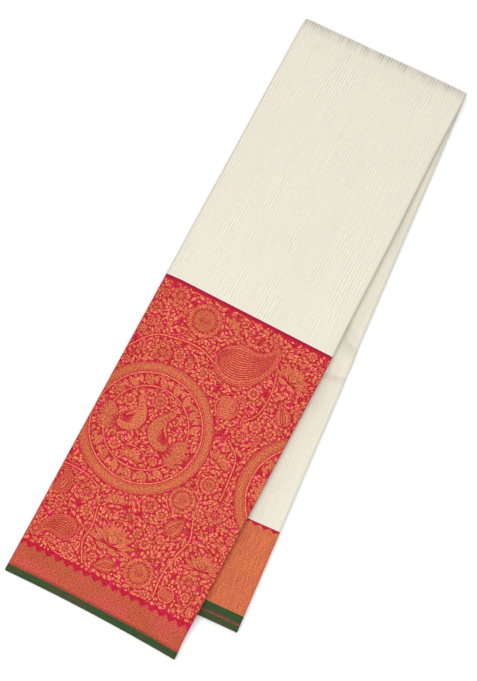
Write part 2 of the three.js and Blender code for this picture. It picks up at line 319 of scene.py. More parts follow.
class Dye:
    """A material, with short names for the nodes that it is made of."""

    def __init__(self, name, slot=""):
        self.material = bpy.data.materials.new(name)
        self.material.use_nodes = True
        self.slot = slot
        self.tree = self.material.node_tree
        self.tree.nodes.clear()
        place = self.node("ShaderNodeAttribute", attribute_name="cloth")
        parts = self.node("ShaderNodeSeparateXYZ", {0: place.outputs["Vector"]})
        self.s, self.r, self.tint = parts.outputs[:3]

    def node(self, kind, inputs=None, **settings):
        made = self.tree.nodes.new(kind)
        for key, value in settings.items():
            setattr(made, key, value)
        for key, value in (inputs or {}).items():
            if isinstance(value, bpy.types.NodeSocket):
                self.tree.links.new(value, made.inputs[key])
            else:
                made.inputs[key].default_value = value
        return made

    def math(self, operation, a, b=0.0, c=0.0):
        return self.node("ShaderNodeMath", {0: a, 1: b, 2: c}, operation=operation).outputs[0]

    def times(self, a, b, plus=0.0):
        return self.math("MULTIPLY_ADD", a, b, plus)

    def stir(self, value, noise, amount):
        """value, moved either way by a noise from 0 to 1."""
        return self.times(self.math("SUBTRACT", noise, 0.5), amount, value)

    def ramp(self, value, low, high, to_low=0.0, to_high=1.0):
        inputs = {0: value, 1: low, 2: high, 3: to_low, 4: to_high}
        return self.node("ShaderNodeMapRange", inputs).outputs[0]

    def window(self, rise, full, fade, end):
        """1 between two rows, 0 outside them and soft at both ends."""
        return self.times(self.ramp(self.r, rise, full), self.ramp(self.r, fade, end, 1.0, 0.0))

    def mix(self, share, a, b):
        return self.node("ShaderNodeMix", {0: share, 6: a, 7: b}, data_type="RGBA").outputs[2]

    def brighten(self, tint, value):
        """tint times a number near 1."""
        grey = self.node("ShaderNodeCombineColor", {0: value, 1: value, 2: value}).outputs[0]
        return self.node("ShaderNodeMix", {0: 1.0, 6: tint, 7: grey}, data_type="RGBA",
                         blend_type="MULTIPLY").outputs[2]

    def noise(self, per_s, per_r, seed, detail=2.0, roughness=0.5):
        """Noise from 0 to 1, with so many lumps a millimetre across and along."""
        across, along = self.times(self.s, per_s), self.times(self.r, per_r)
        where = self.node("ShaderNodeCombineXYZ", {0: across, 1: along, 2: seed}).outputs[0]
        inputs = {"Vector": where, "Scale": 1.0, "Detail": detail, "Roughness": roughness}
        return self.node("ShaderNodeTexNoise", inputs).outputs["Fac"]

    def stripes(self, along, pitch):
        """A sine from -1 to 1 with this pitch."""
        return self.math("SINE", self.times(along, 2 * pi / pitch))

    def weave(self, warp, weft):
        """Height of a plain weave with these thread pitches, from 0 to 1."""
        over = self.times(self.stripes(self.s, 2 * warp), self.stripes(self.r, 2 * weft))
        return self.times(over, 0.5, 0.5)

    def tone_and_glints(self, spread):
        """A fine unevenness of brightness, by this much either way: partly the threads' own uneven
        tone, partly painted glints where they catch the light.
        """
        glints = self.noise(0.8, 0.8, 41.0, 2.0, 0.7)
        return self.ramp(glints, 0.36, 0.64, 1 - spread, 1 + spread)

    def finish(self, base, height, depth, roughness, metallic=0.0, sheen=0.0, specular=0.15):
        """The silk shader. height from 0 to 1 stands for depth millimetres of relief. The cloth is
        a little darker along its two long folds: painted shade, for the shading of their rounded
        edges."""
        # painted shade along the two long folds
        fold = self.ramp(self.math("ABSOLUTE", self.s), HALF - 2.0, HALF - 0.4, 1.0, FOLD_SHADE)
        base = self.brighten(base, fold)
        inputs = {"Height": height, "Distance": depth * MM, "Strength": 1.0}
        bump = self.node("ShaderNodeBump", inputs)
        shader = self.node("ShaderNodeBsdfPrincipled", {
            "Base Color": base, "Roughness": roughness, "Metallic": metallic,
            "Sheen Weight": sheen, "Sheen Roughness": 0.4, "Specular IOR Level": specular,
            "Normal": bump.outputs[0]})
        self.node("ShaderNodeOutputMaterial", {0: shader.outputs[0]})
        return Silk(self.material, self.slot)


CRIMSON = colour(174, 14, 44)
DARK_CRIMSON = colour(142, 16, 52)
MAGENTA = colour(188, 14, 70)
GOLD_LIGHT = colour(230, 128, 92)
GOLD_DEEP = colour(176, 80, 48)
OLIVE_GOLD = colour(172, 106, 50)
ROSE = colour(190, 72, 66)
DULL_RED = colour(150, 62, 62)
BROWN = colour(88, 56, 40)
GREEN = colour(56, 82, 40)
DARK_GREEN = colour(22, 50, 22)
IVORY = colour(216, 210, 194)
DULL_IVORY = colour(212, 206, 190)
RIB_PITCH = 3.15


def cream_silk():
    """Ivory silk with fine lengthwise ribs a few millimetres apart, and painted shade near and
    over the cross fold.
    """
    dye = Dye("ivory_silk", "cream_silk")
    uneven = dye.noise(0.05, 0.012, 3.0)
    ribs = dye.times(dye.stripes(dye.s, RIB_PITCH), dye.ramp(uneven, 0.35, 0.7))
    ribs = dye.times(ribs, dye.ramp(dye.noise(0.3, 0.2, 17.0, 1.0), 0.36, 0.6, 0.1, 1.6))
    ribs = dye.times(ribs, dye.ramp(dye.r, 0.0, 30.0, 1.0, 0.5))
    streaks = dye.noise(1.9, 0.02, 5.0, 4.0, 0.6)
    slubs = dye.noise(0.08, 1.4, 9.0, 3.0, 0.6)
    value = dye.stir(dye.times(ribs, 0.1, 0.99), streaks, 0.36)
    value = dye.stir(value, slubs, 0.22)
    # Painted shade: near and over the cross fold, the ribs and the cloth are darkened for the
    # shading where the cloth rounds the fold and the ribs crowd.
    fold_shade_window = dye.window(-6.0, 2.0, 3.5, 0.75 * FOLD_ARC)
    patches = dye.ramp(dye.noise(0.12, 0.05, 11.0), 0.38, 0.62, 0.1, 1.2)
    painted_rib_shade = dye.times(dye.ramp(dye.stripes(dye.s, RIB_PITCH), -0.1, 0.9), patches, 0.09)
    value = dye.times(dye.times(fold_shade_window, painted_rib_shade), -0.42, value)
    tone = dye.mix(dye.noise(0.02, 0.012, 1.0), IVORY, DULL_IVORY)
    base = dye.brighten(tone, value)
    height = dye.times(ribs, 0.12, dye.weave(0.16, 0.2))
    height = dye.times(streaks, 0.8, height)
    roughness = dye.ramp(streaks, 0.2, 0.8, 0.5, 0.62)
    return dye.finish(base, height, 0.03, roughness, sheen=0.15, specular=0.35)


def crimson_ground():
    """The brocade's crimson silk, with the darker line along its joint to the field."""
    dye = Dye("crimson_silk", "brocade")
    streaks = dye.noise(0.9, 0.07, 5.0, 4.0, 0.6)
    weft = dye.noise(0.1, 1.6, 2.0, 3.0, 0.6)
    value = dye.stir(dye.stir(1.0, streaks, 0.3), weft, 0.3)
    line = dye.ramp(dye.r, BROCADE_JOINT - 2.6, BROCADE_JOINT - 1.4)
    stipple = dye.noise(0.8, 0.8, 12.0, 2.0, 0.6)
    patches = dye.noise(0.17, 0.17, 15.0)
    share = dye.ramp(dye.stir(stipple, patches, 0.7), 0.54, 0.6, 0.0, 0.85)
    share = dye.times(share, dye.window(FRONT_TEETH + 4, FRONT_TEETH + 7, BROCADE_JOINT - 5,
                                        BROCADE_JOINT - 3))
    magenta = dye.ramp(dye.noise(0.1, 0.1, 18.0), 0.5, 0.66)
    silk = dye.mix(magenta, CRIMSON, MAGENTA)
    ground = dye.mix(share, dye.mix(line, silk, DARK_CRIMSON), GOLD_DEEP)
    # partly painted glints on the threads, partly their own uneven tone
    base = dye.brighten(ground, dye.times(value, dye.tone_and_glints(0.55)))
    return dye.finish(base, dye.weave(0.22, 0.22), 0.05, 0.6, specular=0.12)


def brocade_reverse():
    """The brocade's wrong side and its folds: its two colours, mingled."""
    dye = Dye("brocade_reverse", "brocade")
    blobs = dye.noise(0.35, 0.35, 4.0, 3.0, 0.65)
    floats = dye.noise(0.25, 2.2, 8.0)
    share = dye.ramp(dye.times(floats, 0.35, blobs), 0.6, 0.74)
    base = dye.mix(share, CRIMSON, dye.mix(floats, GOLD_DEEP, GOLD_LIGHT))
    return dye.finish(base, floats, 0.08, 0.55)


def zari_band(name, light, deep, lengthwise, tone_and_glints, rosiness, teeth=False):
    """A band of gold thread. teeth puts small crimson teeth along its joint."""
    dye = Dye(name, "zari")
    grain = dye.noise(0.9, 0.9, 3.0, 3.0, 0.7)
    lines = dye.noise(1.4, 0.05, 6.0, 3.0, 0.6)
    share = dye.stir(grain, lines, lengthwise)
    base = dye.mix(dye.ramp(share, 0.3, 0.7), deep, light)
    rosy = dye.ramp(dye.noise(0.035, 0.05, 21.0), 0.45, 0.62, 0.0, rosiness)
    base = dye.mix(rosy, base, ROSE)
    if teeth:
        count = dye.times(dye.s, TOOTH_COUNT / PLY_WIDTH, TOOTH_COUNT / 2)
        tooth = dye.math("ABSOLUTE", dye.times(dye.math("FRACT", count), 2.0, -1.0))
        reach = dye.times(tooth, -BACK_TOOTH_HEIGHT, BACK_TOOTH_HEIGHT + BACK_JOINT + 0.9)
        inside = dye.ramp(dye.times(dye.r, -1.0, reach), -0.2, 0.2)
        base = dye.mix(inside, base, CRIMSON)
        line = dye.ramp(dye.r, BACK_JOINT + 0.7, BACK_JOINT + 1.1, 1.0, 0.0)
        base = dye.mix(line, base, DARK_CRIMSON)
    height = dye.times(grain, 0.6, dye.weave(0.25, 0.2))
    # Painted shadow: the band is darkened to half within 3.6 mm above the front selvedge, for the
    # shadow line between the band and the green.
    selvedge_shade = dye.ramp(dye.r, FRONT_SELVEDGE, FRONT_SELVEDGE + 3.6, 0.5, 1.0)
    # partly painted glints on the gold threads, partly their own uneven tone
    base = dye.brighten(base, dye.times(selvedge_shade, dye.tone_and_glints(tone_and_glints)))
    roughness = dye.ramp(grain, 0.2, 0.8, 0.5, 0.4)
    return dye.finish(base, height, 0.06, roughness, metallic=0.15)


def green_selvedge():
    """Dark green silk edge, lighter and darker in patches."""
    dye = Dye("green_silk", "green_selvedge")
    patches = dye.noise(0.12, 0.5, 7.0, 3.0, 0.6)
    threads = dye.noise(1.6, 0.4, 2.0, 3.0, 0.6)
    base = dye.mix(patches, DARK_GREEN, GREEN)
    value = dye.stir(1.0, threads, 0.6)
    brown = dye.ramp(dye.noise(0.02, 0.55, 13.0, 3.0, 0.6), 0.54, 0.63, 0.0, 0.8)
    base = dye.mix(brown, base, BROWN)
    line = dye.window(BACK_PLY_END - 0.4, BACK_PLY_END, BACK_PLY_END + 1.2, BACK_PLY_END + 2.0)
    uneven = dye.ramp(dye.noise(0.12, 0.4, 9.0, 3.0, 0.6), 0.35, 0.6)
    base = dye.mix(dye.times(line, uneven), dye.brighten(base, value), DULL_RED)
    return dye.finish(base, dye.weave(0.2, 0.25), 0.05, 0.6)


def zari_figures():
    """Gold thread, a little different from one figure to the next, and lighter on slim blades as a
    painted highlight.
    """
    dye = Dye("zari_figures", "brocade")
    grain = dye.noise(0.8, 0.8, 3.0, 3.0, 0.7)
    floats = dye.noise(0.35, 2.6, 6.0, 3.0, 0.6)
    share = dye.stir(grain, floats, 0.5)
    share = dye.times(dye.math("SUBTRACT", dye.tint, 0.4), 0.4, share)
    base = dye.mix(dye.ramp(share, 0.28, 0.72), GOLD_DEEP, GOLD_LIGHT)
    olive = dye.times(dye.tint, -0.12, dye.noise(0.3, 0.3, 20.0, 3.0, 0.7))
    base = dye.mix(dye.ramp(olive, 0.46, 0.6, 0.0, 0.7), base, OLIVE_GOLD)
    flecks = dye.noise(0.8, 0.8, 30.0, 2.0, 0.6)
    base = dye.mix(dye.ramp(flecks, 0.57, 0.63, 0.0, 0.75), base, CRIMSON)
    # partly painted glints on the gold threads, partly their own uneven tone
    base = dye.brighten(base, dye.tone_and_glints(0.55))
    height = dye.times(grain, 0.5, dye.weave(0.3, 0.2))
    return dye.finish(base, height, 0.06, 0.45, metallic=0.15)


def crimson_lines():
    """Crimson thread between and over the figures' gold."""
    dye = Dye("crimson_lines", "brocade")
    grain = dye.noise(0.9, 0.9, 2.0, 3.0, 0.6)
    base = dye.brighten(CRIMSON, dye.stir(0.95, grain, 0.3))
    return dye.finish(base, grain, 0.03, 0.6, specular=0.12)


FIELD_SILK = cream_silk()
GROUND_SILK = crimson_ground()
REVERSE = brocade_reverse()
# Painted shade: the front band's colours are darker and redder than the back band's, for the
# drooping front end that tilts away from the light.
SHADED_BAND_FRONT = zari_band("zari_front_shaded", colour(200, 92, 62), colour(136, 52, 32), 0.3, 0.5, 0.6)
BAND_BACK = zari_band("zari_back", colour(216, 118, 76), colour(156, 70, 42), 0.9, 0.3, 0.1, True)
SELVEDGE = green_selvedge()
FIGURE_GOLD = zari_figures()
FIGURE_LINES = crimson_lines()


# ---- Figures of the brocade: how they are drawn ----
GOLD, RED = 0, 1
LATTICE = 0.33  # spacing of the places that tell whether a figure has room
CELL = 0.4  # side of the chart's cells, which are free or taken
WIDEST_STEP = 3.0  # longest side of a figure's triangles, so that they follow the cloth


def curve(start, heading, length, turn, steps):
    """Points of a line that starts towards heading and bends evenly by turn, in radians."""
    headings = heading + turn * (np.arange(steps) + 0.5) / steps
    moves = np.stack([np.cos(headings), np.sin(headings)], -1) * length / steps
    return np.vstack([start, start + np.cumsum(moves, 0)])


def through(points, steps):
    """A smooth line through points, with so many steps from each to the next."""
    p = np.array(points, float)
    p = np.vstack([2 * p[0] - p[1], p, 2 * p[-1] - p[-2]])
    u = (np.arange(steps) / steps)[:, None]
    parts = []
    for a, b, c, d in zip(p, p[1:], p[2:], p[3:]):
        parts.append(0.5 * (2 * b + (c - a) * u + (2 * a - 5 * b + 4 * c - d) * u ** 2
                            + (3 * b - a - 3 * c + d) * u ** 3))
    return np.vstack([*parts, p[-2]])


def polar(radius, angle):
    return radius * cos(angle), radius * sin(angle)


def ring(radius, steps, first=0.0, turn=2 * pi):
    angles = first + np.linspace(0, turn, steps + 1)
    return radius * np.stack([np.cos(angles), np.sin(angles)], -1)


def sideways(axis):
    """Unit vectors to the left of a line."""
    if np.allclose(axis[0], axis[-1]):
        ahead = np.roll(axis[:-1], -1, 0) - np.roll(axis[:-1], 1, 0)
        ahead = np.vstack([ahead, ahead[:1]])
    else:
        ahead = np.gradient(axis, axis=0)
    ahead /= np.maximum(np.hypot(*ahead.T), 1e-9)[:, None]
    return np.stack([-ahead[:, 1], ahead[:, 0]], -1)


Place = namedtuple("Place", "s r turn size mirror", defaults=(0.0, 1.0, 1))


def put_at(place, points):
    """Local points of a figure, moved to its place on the cloth."""
    c, n = cos(radians(place.turn)), sin(radians(place.turn))
    x, y = (np.array(points, float) * place.size).T
    x *= place.mirror
    return np.stack([place.s + x * c - y * n, place.r + x * n + y * c], -1)


class Chart:
    """The figures of the brocade: blades of gold or crimson thread, and the room they leave."""

    def __init__(self, low, high, seed):
        self.low, self.high = low, high
        self.random = np.random.default_rng(seed)
        self.blades = []
        cells = (int((high - low) / CELL), int(2 * HALF / CELL))
        self.taken = np.zeros(cells, bool)

    def lattice(self, axis, half, grow=0.0):
        """Places all over a blade grown by a margin."""
        lengths = np.hypot(*np.diff(axis, axis=0).T)
        at = np.concatenate([[0], np.cumsum(lengths)])
        fine = np.arange(-grow, at[-1] + grow, LATTICE)
        inside = np.clip(fine, 0, at[-1])
        x, y, h = (np.interp(inside, at, each) for each in (axis[:, 0], axis[:, 1], half))
        side = sideways(np.stack([x, y], -1)) if len(x) > 1 else np.zeros((1, 2))
        ahead = np.stack([side[:, 1], -side[:, 0]], -1)
        centre = np.stack([x, y], -1) + ahead * (fine - inside)[:, None]
        wide = h + grow
        count = max(2, ceil(2 * wide.max() / LATTICE) + 1)
        share = np.linspace(-1, 1, count)
        spots = centre[:, None] + side[:, None] * wide[:, None, None] * share[None, :, None]
        return spots.reshape(-1, 2)

    def cells(self, spots):
        i = ((spots[:, 1] - self.low) / CELL).astype(int)
        j = ((spots[:, 0] + HALF) / CELL).astype(int)
        inside = (i >= 0) & (i < self.taken.shape[0]) & (j >= 0) & (j < self.taken.shape[1])
        return i[inside], j[inside]

    def free(self, axis, half):
        spots = self.lattice(axis, half)
        if spots[:, 1].min() < self.low or spots[:, 1].max() > self.high:
            return False
        i, j = self.cells(spots)
        return len(i) > 0 and not self.taken[i, j].any()

    def take(self, axis, half, gap):
        i, j = self.cells(self.lattice(axis, half, gap))
        self.taken[i, j] = True

    def blade(self, axis, half, layer=0, thread=GOLD, gap=0.45):
        """Adds a blade: its axis, half its width at each point, and the gap kept round it."""
        half = np.broadcast_to(np.array(half, float), len(axis))
        self.blades.append((axis, half, layer, thread))
        if layer == 0:
            self.take(axis, half, gap)


def leaf_half(width, steps, full=0.42):
    """Half widths of a leaf that is widest at share full of its length."""
    u = np.linspace(0, 1, steps + 1)
    power = log(0.5) / log(full)
    return np.maximum(width / 2 * np.sin(pi * u ** power), 0.0)


def leaf(chart, place, base, heading, length, width, turn=0.0, layer=0, thread=GOLD, gap=0.45,
         vein=False, full=0.42):
    size = length * place.size
    steps = max(3, ceil(size / WIDEST_STEP) + 2)
    axis = put_at(place, curve(base, heading, length, turn, steps))
    half = leaf_half(width * place.size, steps, full)
    chart.blade(axis, half, layer, thread, gap)
    if vein:
        chart.blade(axis[:-1], 0.17, layer + 1, 1 - thread)


def round_blade(place, radius, steps, centre=(0, 0)):
    """Axis and half widths of a disc."""
    turns = np.linspace(0, pi, steps + 1)
    axis = np.stack([centre[0] - radius * np.cos(turns), np.full(steps + 1, centre[1])], -1)
    return put_at(place, axis), radius * place.size * np.sin(turns)


def disc(chart, place, centre, radius, layer=0, thread=GOLD, gap=0.45):
    steps = max(6, ceil(2 * radius * place.size / WIDEST_STEP) * 2)
    chart.blade(*round_blade(place, radius, steps, centre), layer, thread, gap)


def hoop(chart, place, radius, width, layer=0, thread=GOLD, gap=0.4):
    steps = max(10, ceil(2 * pi * radius * place.size / WIDEST_STEP))
    chart.blade(put_at(place, ring(radius, steps)), width / 2, layer, thread, gap)


def grain(chart, axis, half, shares, width, layer, thread):
    """Fine lines along a blade, at these shares of its half width."""
    side = sideways(axis)
    taper = np.minimum(width / 2, half * 0.6 / len(shares))
    for share in shares:
        chart.blade(axis + side * (half * share)[:, None], taper, layer, thread)


# ---- Figures of the brocade: the motifs ----
def inset(axis, half, by):
    """A blade whose outline stands in from another one's."""
    left = half - by
    kept = np.flatnonzero(left > 0)
    if len(kept) < 2:
        return axis[:2], np.zeros(2)
    first, last = max(kept[0] - 1, 0), min(kept[-1] + 1, len(axis) - 1)
    return axis[first:last + 1], np.maximum(left[first:last + 1], 0)


def rosette(chart, place, radius, petals=8):
    """A round flower of one or two rings of petals."""
    for k in range(petals):
        heading = 2 * pi * (k + 0.5) / petals
        leaf(chart, place, polar(0.4 * radius, heading), heading, 0.64 * radius,
             4.7 * radius / petals, full=0.6, gap=0.3, vein=radius > 7)
    disc(chart, place, (0, 0), 0.33 * radius)
    hoop(chart, place, 0.2 * radius, 0.5, 1, RED)


def hatch(chart, axis, half, layer, pitch=2.3, width=0.85):
    """Fine crimson lines along a blade, at this pitch where it is widest."""
    count = max(2, round(2 * half.max() / pitch) - 1)
    grain(chart, axis, half, np.linspace(-1, 1, count + 2)[1:-1], width, layer, RED)


def bloom(chart, place, radius, petals=0):
    """A wide round flower: petals, rings of short strokes and a hatched heart."""
    petals = petals or 10 + round(radius / 2)
    for k in range(petals):
        at = 2 * pi * k / petals
        leaf(chart, place, polar(0.66 * radius, at), at, 0.36 * radius, 6.0 * radius / petals,
             full=0.6, gap=0.2, vein=radius > 10)
        for share, length in ((0.5, 0.11), (0.33, 0.1)):
            leaf(chart, place, polar(share * radius, at), at, length * radius, 0.7, 0, 1, RED)
    disc(chart, place, (0, 0), 0.66 * radius)
    hoop(chart, place, 0.63 * radius, 0.4, 1, RED)
    heart = 0.26 * radius
    hoop(chart, place, heart, 0.4, 1, RED)
    hatch(chart, *round_blade(place, heart, 10), 1, 2.1, 0.7)


def drop(chart, place, radius):
    """A bent teardrop with lines round it and fine ribs."""
    steps = max(6, ceil(2.4 * radius / WIDEST_STEP) + 2)
    axis = put_at(place, curve((-1.1 * radius, 0), -0.2, 2.4 * radius, 0.5, steps))
    half = leaf_half(1.5 * radius, steps, 0.36)
    chart.blade(axis, half)
    chart.blade(*inset(axis, half, 0.8), 1, RED)
    chart.blade(*inset(axis, half, 1.4), 2)
    body, wide = inset(axis, half, 2.3)
    hatch(chart, body, wide, 3)


def fruit(chart, place, radius):
    """A ribbed round fruit with a crown and two sepals."""
    hoop(chart, place, radius - 0.4, 0.9)
    axis, half = round_blade(place, radius - 1.7, 14)
    chart.blade(axis, half)
    grain(chart, axis, half, np.arange(-0.75, 0.8, 0.25), 0.45, 1, RED)
    for heading in (-0.5, 0, 0.5):
        base = polar(radius + 0.4, heading * 0.5)
        leaf(chart, place, base, heading, 0.5 * radius, 0.24 * radius)
    for side in (-1, 1):
        base = (-radius * 0.95, side * radius * 0.45)
        leaf(chart, place, base, pi - side * 1.2, 0.75 * radius, 0.34 * radius, side * 1.1)


def lotus(chart, place, radius):
    """A flower seen from its side: petals in a fan, the middle ones in front."""
    fans = [(1.0, 5, 1.25, 0), (0.78, 4, 0.85, 2), (0.55, 1, 0.0, 4)]
    if radius > 11:
        fans = [(1.0, 9, 1.55, 0), (0.82, 6, 1.15, 2), (0.64, 5, 0.8, 4), (0.44, 1, 0.0, 6)]
    for length, petals, reach, layer in fans:
        for k in range(petals):
            lean = 0 if petals == 1 else reach * (2 * k / (petals - 1) - 1)
            size, width = length * radius * 1.5, 2.5 * radius / max(petals, 4)
            base = (-0.6 * radius, 0.1 * radius * lean)
            if layer:
                leaf(chart, place, base, lean, size + 0.6, width + 1.3, 0, layer - 1, RED)
            leaf(chart, place, base, lean, size, width, 0, layer, vein=radius > 11 or layer == 0,
                 full=0.6)
    for side in (-1, 1):
        leaf(chart, place, (-0.75 * radius, 0), side * 2.1, 0.9 * radius, 0.36 * radius,
             -side * 0.9)


def bud(chart, place, length):
    """Three closed petals on a cup."""
    for side in (-1, 1):
        leaf(chart, place, (0, side * 0.2), side * 0.42, length, 0.34 * length, -side * 0.5)
    leaf(chart, place, (0, 0), 0, 1.12 * length, 0.4 * length, 0, 1, RED)
    leaf(chart, place, (0.3, 0), 0, length, 0.28 * length, 0, 2)


def body(place, rows, steps, size=1.0):
    """Axis and half widths of a blade through rows of x, y and half width."""
    line = through(np.array(rows) * size, steps)
    return put_at(place, line[:, :2]), np.maximum(line[:, 2], 0) * place.size


PAISLEY = [(-1.0, 0.0, 0.0), (-0.85, -0.02, 0.5), (-0.4, -0.06, 0.88), (0.15, 0.0, 0.97),
           (0.75, 0.3, 0.78), (1.15, 0.75, 0.5), (1.3, 1.25, 0.28), (1.15, 1.6, 0.14),
           (0.85, 1.62, 0.0)]


def paisley(chart, place, radius, rings=2):
    """A mango shape with lines round it and fine ribs to its curled tip."""
    axis, half = body(place, PAISLEY, max(4, ceil(radius / 3)), radius)
    chart.blade(axis, half)
    for k in range(rings):
        chart.blade(*inset(axis, half, 0.8 + 1.9 * k), 2 * k + 1, RED)
        chart.blade(*inset(axis, half, 1.5 + 1.9 * k), 2 * k + 2)
    middle, wide = inset(axis, half, 2.3 + 1.9 * (rings - 1))
    lines = max(3, round(0.8 * wide.max()))
    grain(chart, middle, wide, np.linspace(-0.88, 0.88, lines), 0.95, 2 * rings + 1, RED)


def sprig(chart, place, length, leaves, size):
    """A bent stem with leaves at its sides and one at its tip, where there is room."""
    line = curve((0, 0), 0, length, 0.9, 6)
    stem = put_at(place, line)
    if not chart.free(stem, np.full(len(stem), 0.5)):
        return
    grown = [(len(line) - 1, 0.9, 1.1)]
    grown += [(k, 0.75 * (-1) ** k, 0.95) for k in range(1, leaves + 1)]
    made = []
    for k, lean, share in grown:
        k = min(k, len(line) - 1)
        ahead = line[k] - line[k - 1]
        heading = atan2(ahead[1], ahead[0]) + (lean if k < len(line) - 1 else 0)
        base = line[k] + polar(0.55, heading)
        axis = put_at(place, curve(base, heading, size * share, -lean * 0.6, 4))
        half = leaf_half(size * 0.42, 4)
        if chart.free(axis, half):
            made.append((axis, half))
    chart.blade(stem, 0.3, gap=0.25)
    for axis, half in made:
        chart.blade(axis, half, gap=0.2)


def vine(chart, points, width=1.1, leaf_size=6.6, spacing=4.2):
    """A long stem with leaves on both sides."""
    line = through(points, 5)
    chart.blade(line, width / 2, gap=0.4)
    lengths = np.concatenate([[0], np.cumsum(np.hypot(*np.diff(line, axis=0).T))])
    side = sideways(line)
    for count, at in enumerate(np.arange(spacing, lengths[-1], spacing)):
        k = int(np.searchsorted(lengths, at))
        out = side[k] * (-1) ** count
        ahead = np.array([side[k][1], -side[k][0]])
        heading = atan2(*(out * 0.8 + ahead)[::-1])
        base = line[k] + out * (width / 2 + 0.5)
        axis = curve(base, heading, leaf_size, -0.7 * (-1) ** count, 5)
        half = leaf_half(leaf_size * 0.42, 5)
        if chart.free(axis, half):
            chart.blade(axis, half, gap=0.35)


BIRD = [(-12.6, 11.2, 0.0), (-10.8, 12.6, 2.1), (-8.6, 11.4, 2.4), (-7.8, 7.8, 2.3),
        (-6.2, 3.4, 4.0), (-2.4, -0.4, 5.9), (2.6, -2.0, 5.9), (7.2, -1.4, 4.4), (10.6, 1.4, 2.2)]


def bird(chart, place):
    """A crested bird with a long tail, in profile, about 30 mm long."""
    chart.blade(*body(place, BIRD, 4), gap=0.8)
    leaf(chart, place, (-12.4, 11.6), 3.6, 3.8, 1.8, 0.4)
    for lean in (1.2, 1.6, 2.0):
        leaf(chart, place, (-9.6 + cos(lean), 14.6), lean, 3.6, 1.3)
    for k, lean in enumerate((1.55, 1.2, 0.85, 0.5, 0.1)):
        leaf(chart, place, (10.0 + 0.5 * k, 2.4 - 1.3 * k), lean, 16.5 - 1.0 * abs(k - 2), 4.3,
             -0.5 + 0.3 * k, gap=0.3, vein=True, full=0.64)
    for k in range(5):
        base = (-3.4 + 1.2 * k, 3.2 - 1.5 * k)
        leaf(chart, place, base, -0.3 + 0.14 * k, 10.5, 1.0, 0.55, 1, RED)
    for k in range(3):
        leaf(chart, place, (-9.6 + 0.8 * k, 8.6 - 2.2 * k), 0.1, 3.4, 0.6, 0, 1, RED)
    disc(chart, place, (-10.4, 12.6), 0.6, 1, RED)
    for foot in (0.0, 3.4):
        leaf(chart, place, (foot, -7.8), -1.9, 5.5, 1.4, 0.5)


# The roundel's birds: place in it, turn, size and the way they face.
BIRDS = [((-15, 3), 40, 1.42, -1), ((14, 1), -44, 1.5, 1)]


def roundel(chart, place):
    """Two birds face each other over a flowering branch, in a double ring of leaf scrolls."""
    hoop(chart, place, 60.2, 8.6, gap=0.5)
    for radius in (57.2, 63.3):
        hoop(chart, place, radius, 0.42, 1, RED)
    hoop(chart, place, 54.3, 1.2, gap=0.3)
    hoop(chart, place, 41.0, 1.1, gap=0.4)
    for (x, y), turn, size, facing in BIRDS:
        spot = put_at(place, [(x, y)])[0]
        bird(chart, Place(*spot, place.turn + turn * place.mirror, size, facing * place.mirror))
    scrolls = 20
    for k in range(scrolls):
        at = 2 * pi * k / scrolls
        middle = put_at(place, ring(47.5, 2, at, 0.14))
        if not chart.free(middle, np.full(len(middle), 3.0)):
            continue
        leaf(chart, place, polar(42.8, at), at + 1.15, 13.2, 6.8, -0.9, gap=0.2, vein=True)
        leaf(chart, place, polar(52.0, at - 0.07), at + 2.6, 8.4, 4.4, 1.1, gap=0.2)
        disc(chart, place, polar(48.4, at + 0.02), 1.9, gap=0.2)
    bloom(chart, Place(*put_at(place, [(0, 29)])[0], 20), 8.0, 11)
    lotus(chart, Place(*put_at(place, [(0, -29)])[0], 90 + place.turn), 8.0)


# ---- Figures of the brocade: what lies where ----
LOWEST_FIGURE = FRONT_TEETH + 3.8
HIGHEST_FIGURE = BROCADE_JOINT - 3.4

# The larger figures: what draws it, place across and along, turn and size.
FIGURES = [
    (paisley, 13, -344, -4, 21), (bloom, -34, -321, 0, 17), (lotus, 68, -330, 70, 13),
    (rosette, -66, -309, 0, 9), (rosette, -83, -330, 0, 7), (rosette, 36, -306, 20, 7),
    (lotus, -6, -312, 60, 8), (bud, -80, -352, 200, 11), (rosette, -56, -367, 0, 9.5),
    (fruit, 24, -387, 10, 11.5), (drop, 74, -370, 120, 9.5), (rosette, -12, -368, 10, 6.5),
    (rosette, 50, -404, 10, 7), (lotus, 42, -434, 70, 8.5), (bloom, 44, -461, 10, 9),
    (rosette, 62, -484, 0, 8.5), (bloom, 28, -486, 0, 13), (drop, 33, -512, 60, 10),
    (rosette, 3, -504, 20, 7.8), (lotus, -28, -514, 110, 8), (rosette, -56, -520, 0, 8.5),
    (paisley, -80, -524, 60, 8), (rosette, -48, -536, 15, 6), (lotus, -12, -546, 84, 15.5),
    (lotus, 73, -530, 100, 12), (paisley, -59, -560, 165, 11.5), (drop, -8, -575, 200, 9),
    (bloom, 24, -566, 5, 14.5), (rosette, 70, -552, 0, 8.5), (bud, 84, -582, 100, 12),
    (rosette, -83, -572, 20, 7.5), (fruit, 56, -572, 80, 7.5), (bud, 84, -504, 250, 10),
    (bud, 46, -548, 100, 9),
]
VINES = [
    [(-91, -378), (-72, -356), (-50, -349), (-26, -347), (-6, -354)],
    [(48, -326), (54, -344), (56, -362), (53, -380), (44, -392)],
    [(40, -414), (54, -426), (58, -446), (60, -470)],
    [(46, -498), (52, -516), (48, -532), (44, -556), (46, -580)],
    [(-40, -528), (-36, -546), (-37, -564), (-28, -582)],
    [(-91, -504), (-76, -504), (-62, -506), (-46, -512)],
]
ROUNDELS = [Place(-35.4, -440, 0, 1, 1), Place(130, -436, 0, 1, -1)]
